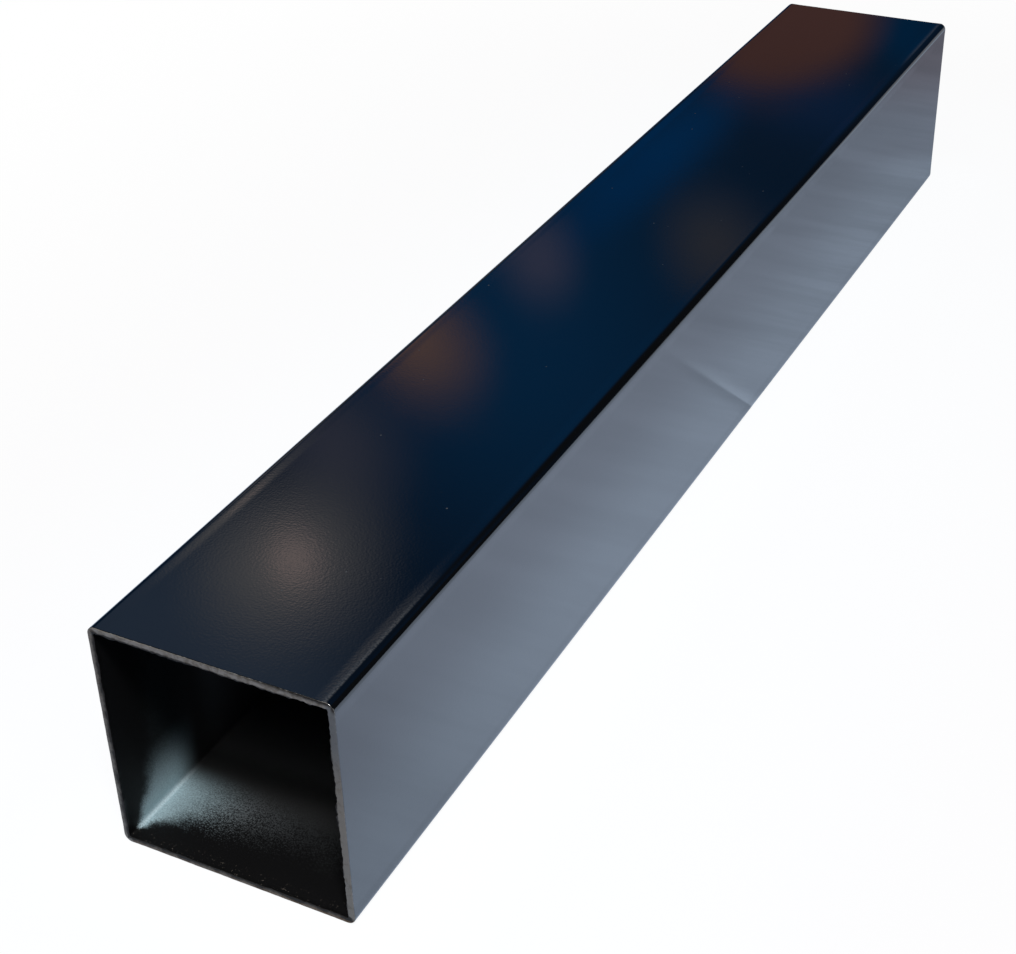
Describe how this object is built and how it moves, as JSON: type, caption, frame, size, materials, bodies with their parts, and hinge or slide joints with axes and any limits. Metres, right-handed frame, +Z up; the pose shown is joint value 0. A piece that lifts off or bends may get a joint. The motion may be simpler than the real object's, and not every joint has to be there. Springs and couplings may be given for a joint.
{
  "type": "fence post",
  "caption": "Straight length of black-coated square steel tube with open, square-cut ends, used as a post for a fence, railing or gate.",
  "frame": {"origin": "middle of the side the post lies on, half way along it", "axes": "+Z up from the side it lies on, +Y along the post to its far end, +X towards the wall with the weld seam"},
  "size_m": [0.1, 0.7, 0.1],
  "materials": {
    "black_coat": "semi-gloss black coat with a fine orange peel outside, dull grey cut edges, and thin coat with bare steel showing in the bore"
  },
  "bodies": {
    "root": {"post_tube": "black_coat"}
  },
  "joints": []
}
